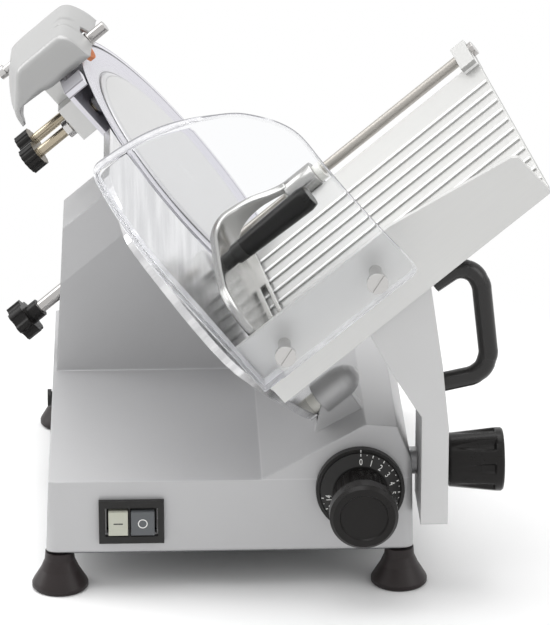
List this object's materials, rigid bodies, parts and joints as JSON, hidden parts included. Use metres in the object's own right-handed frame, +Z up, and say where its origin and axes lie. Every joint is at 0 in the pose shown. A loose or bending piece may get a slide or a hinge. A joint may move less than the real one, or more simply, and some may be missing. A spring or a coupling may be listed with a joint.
{
  "type": "electric food slicer",
  "caption": "Gravity-feed electric food slicer: round blade on a slanted head, sliding tray with pusher and clear hand guard, thickness dial and push switch on a cast base.",
  "frame": {"origin": "on the table under the middle of the bounding box", "axes": "+X to the operator's right, +Y away from the operator, +Z up"},
  "size_m": [0.3958, 0.4564, 0.3804],
  "materials": {
    "casting": "satin anodised casting",
    "cover_sheet": "plain sheet",
    "foot_rubber": "matt rubber",
    "steel": "bright steel",
    "blade_steel": "ground and polished steel",
    "cover_alloy": "fine satin disc",
    "ring_alloy": "satin casting",
    "black_plastic": "moulded",
    "knob_plastic": "polished moulding",
    "white_plastic": "moulded",
    "grey_plastic": "moulded",
    "motor_paint": "painted",
    "bearing_steel": "ground",
    "belt_rubber": "ribbed belt",
    "gauge_alloy": "polished plate",
    "tray_alloy": "satin anodised plate",
    "clear_plastic": "clear acrylic",
    "chrome": "polished",
    "bronze": "sintered bush",
    "brass_steel": "turned rod",
    "stone": "fine grit",
    "hone": "fine grit",
    "liner_plastic": "moulded"
  },
  "bodies": {
    "base": {"base_housing": "casting", "bottom_cover": "cover_sheet", "rubber_feet": "foot_rubber", "foot_screws": "steel", "cable_gland": "black_plastic", "ring_guard": "ring_alloy", "ring_screws": "steel", "blade_cover": "cover_alloy", "bearing_carrier": "ring_alloy", "bearings": "bearing_steel", "motor_body": "motor_paint", "capacitor": "grey_plastic", "drive_belt": "belt_rubber", "switch_frame": "black_plastic", "dial_ring": "black_plastic", "slide_rod": "steel", "guide_bar": "steel", "sharpener_hood": "ring_alloy", "hood_screw": "steel", "sharpener_bracket": "ring_alloy"},
    "blade_spindle": {"blade": "blade_steel", "blade_pulley": "ring_alloy", "blade_bolts": "steel", "spindle": "steel"},
    "motor_rotor": {"motor_shaft": "steel", "motor_pulley": "ring_alloy"},
    "tie": {"tie_rod": "chrome", "tie_knob": "knob_plastic"},
    "dial": {"dial_scale": "black_plastic", "dial_knob": "knob_plastic", "dial_shaft": "steel", "scroll_cam": "ring_alloy"},
    "gauge": {"gauge_plate": "gauge_alloy", "gauge_bar": "gauge_alloy", "gauge_link": "ring_alloy"},
    "start": {"start_button": "white_plastic"},
    "stop": {"stop_button": "grey_plastic"},
    "carriage": {"carriage_hanger": "ring_alloy", "slide_bushes": "bronze", "carriage_arm": "casting", "carriage_handle": "knob_plastic", "tray": "tray_alloy", "tray_screws": "steel", "hand_guard": "clear_plastic", "guard_spacers": "steel", "guard_screws": "chrome", "pusher_rod": "chrome", "rod_nut": "chrome"},
    "arm_lock": {"lock_knob": "knob_plastic"},
    "pusher_slider": {"pusher_liner": "liner_plastic"},
    "pusher": {"pusher_plate": "tray_alloy", "pusher_handle": "knob_plastic"},
    "stone": {"sharpening_stone": "stone", "stone_pin": "chrome"},
    "hone": {"hone_stone": "hone", "hone_shaft": "brass_steel"},
    "clamp": {"clamp_screw": "brass_steel"}
  },
  "joints": [
    {"name": "blade_spin", "type": "hinge", "parent": "base", "child": "blade_spindle", "pos_m": [-0.051, 0.09525, 0.229], "axis": [0.766, 0, 0.6428], "continuous": true},
    {"name": "motor_spin", "type": "hinge", "parent": "base", "child": "motor_rotor", "pos_m": [0.00364, 0.09525, 0.16389], "axis": [0.766, 0, 0.6428], "continuous": true},
    {"name": "tie_turn", "type": "hinge", "parent": "base", "child": "tie", "pos_m": [-0.04618, 0.09125, 0.22326], "axis": [0.766, 0, 0.6428], "range_deg": [0, 360]},
    {"name": "dial_turn", "type": "hinge", "parent": "base", "child": "dial", "pos_m": [0.068, -0.16975, 0.079], "axis": [0, -1, 0], "range_deg": [0, 270]},
    {"name": "gauge_slide", "type": "slide", "parent": "base", "child": "gauge", "axis": [-0.766, 0, -0.6428], "range_m": [0, 0.012]},
    {"name": "start_press", "type": "slide", "parent": "base", "child": "start", "axis": [0, 1, 0], "range_m": [0, 0.003], "stiffness_N_per_m": 500},
    {"name": "stop_press", "type": "slide", "parent": "base", "child": "stop", "axis": [0, 1, 0], "range_m": [0, 0.003], "stiffness_N_per_m": 500},
    {"name": "carriage_slide", "type": "slide", "parent": "base", "child": "carriage", "axis": [0, 1, 0], "range_m": [0, 0.215]},
    {"name": "arm_lock_turn", "type": "hinge", "parent": "carriage", "child": "arm_lock", "pos_m": [0.134, -0.14175, 0.088], "axis": [1, 0, 0], "range_deg": [0, 360]},
    {"name": "pusher_slide", "type": "slide", "parent": "carriage", "child": "pusher_slider", "axis": [0.766, 0, 0.6428], "range_m": [0, 0.122]},
    {"name": "pusher_lift", "type": "hinge", "parent": "pusher_slider", "child": "pusher", "pos_m": [0.02735, -0.03662, 0.26009], "axis": [-0.766, 0, -0.6428], "range_deg": [0, 55]},
    {"name": "stone_press", "type": "slide", "parent": "base", "child": "stone", "axis": [-0.766, 0, -0.6428], "range_m": [0, 0.003], "stiffness_N_per_m": 800, "springref_m": -0.002},
    {"name": "hone_press", "type": "slide", "parent": "base", "child": "hone", "axis": [0.766, 0, 0.6428], "range_m": [0, 0.0015], "stiffness_N_per_m": 800, "springref_m": -0.002},
    {"name": "clamp_turn", "type": "hinge", "parent": "base", "child": "clamp", "pos_m": [-0.14876, 0.11725, 0.26772], "axis": [0.766, 0, 0.6428], "range_deg": [0, 360]}
  ],
  "couplings": [
    {"joint": "motor_spin", "follows": "blade_spin", "ratio": 1.7595},
    {"joint": "dial_turn", "follows": "gauge_slide", "rad_per_m": 392.7}
  ]
}
